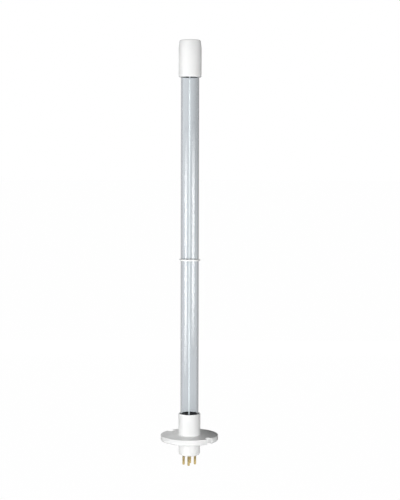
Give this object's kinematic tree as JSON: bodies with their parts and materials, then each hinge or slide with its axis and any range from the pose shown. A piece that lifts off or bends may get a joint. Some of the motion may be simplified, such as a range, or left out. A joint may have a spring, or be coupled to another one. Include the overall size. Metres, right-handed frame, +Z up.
{
  "type": "ultraviolet lamp",
  "caption": "Straight clear-tube ultraviolet lamp with a white cap, a notched round mounting flange and a pin base at one end.",
  "frame": {"origin": "centre of the contact pin pattern, on the base's bottom face", "axes": "+Z up the tube from the pins to the cap, +X and -X through the two flange notches"},
  "size_m": [0.0506, 0.051, 0.3748],
  "materials": {
    "quartz": "clear, fire-polished",
    "ceramic": "white glazed ceramic",
    "cement": "dark fired lamp cement",
    "brass": "satin brass",
    "nickel": "drawn nickel wire",
    "tungsten": "drawn and coiled, oxide-coated",
    "molybdenum": "rolled foil",
    "coated_wire": "white fluoropolymer coat",
    "amalgam": "dull silver"
  },
  "bodies": {
    "root": {"quartz_tube": "quartz", "top_cap": "ceramic", "centre_ring": "ceramic", "lamp_base": "ceramic", "base_cement": "cement", "cap_cement": "cement", "ring_cement": "cement", "amalgam_pellet": "amalgam", "contact_pin_1": "brass", "contact_pin_2": "brass", "contact_pin_3": "brass", "contact_pin_4": "brass", "lower_filament": "tungsten", "upper_filament": "tungsten", "lower_support_1": "nickel", "lower_support_2": "nickel", "upper_support_1": "nickel", "upper_support_2": "nickel", "lower_foil_1": "molybdenum", "lower_foil_2": "molybdenum", "upper_foil_1": "molybdenum", "upper_foil_2": "molybdenum", "lower_outer_lead_1": "nickel", "lower_outer_lead_2": "nickel", "upper_outer_lead_1": "nickel", "upper_outer_lead_2": "nickel", "return_lead_1": "coated_wire", "return_lead_2": "coated_wire", "crimp_sleeve_1": "nickel", "crimp_sleeve_2": "nickel"}
  },
  "joints": []
}
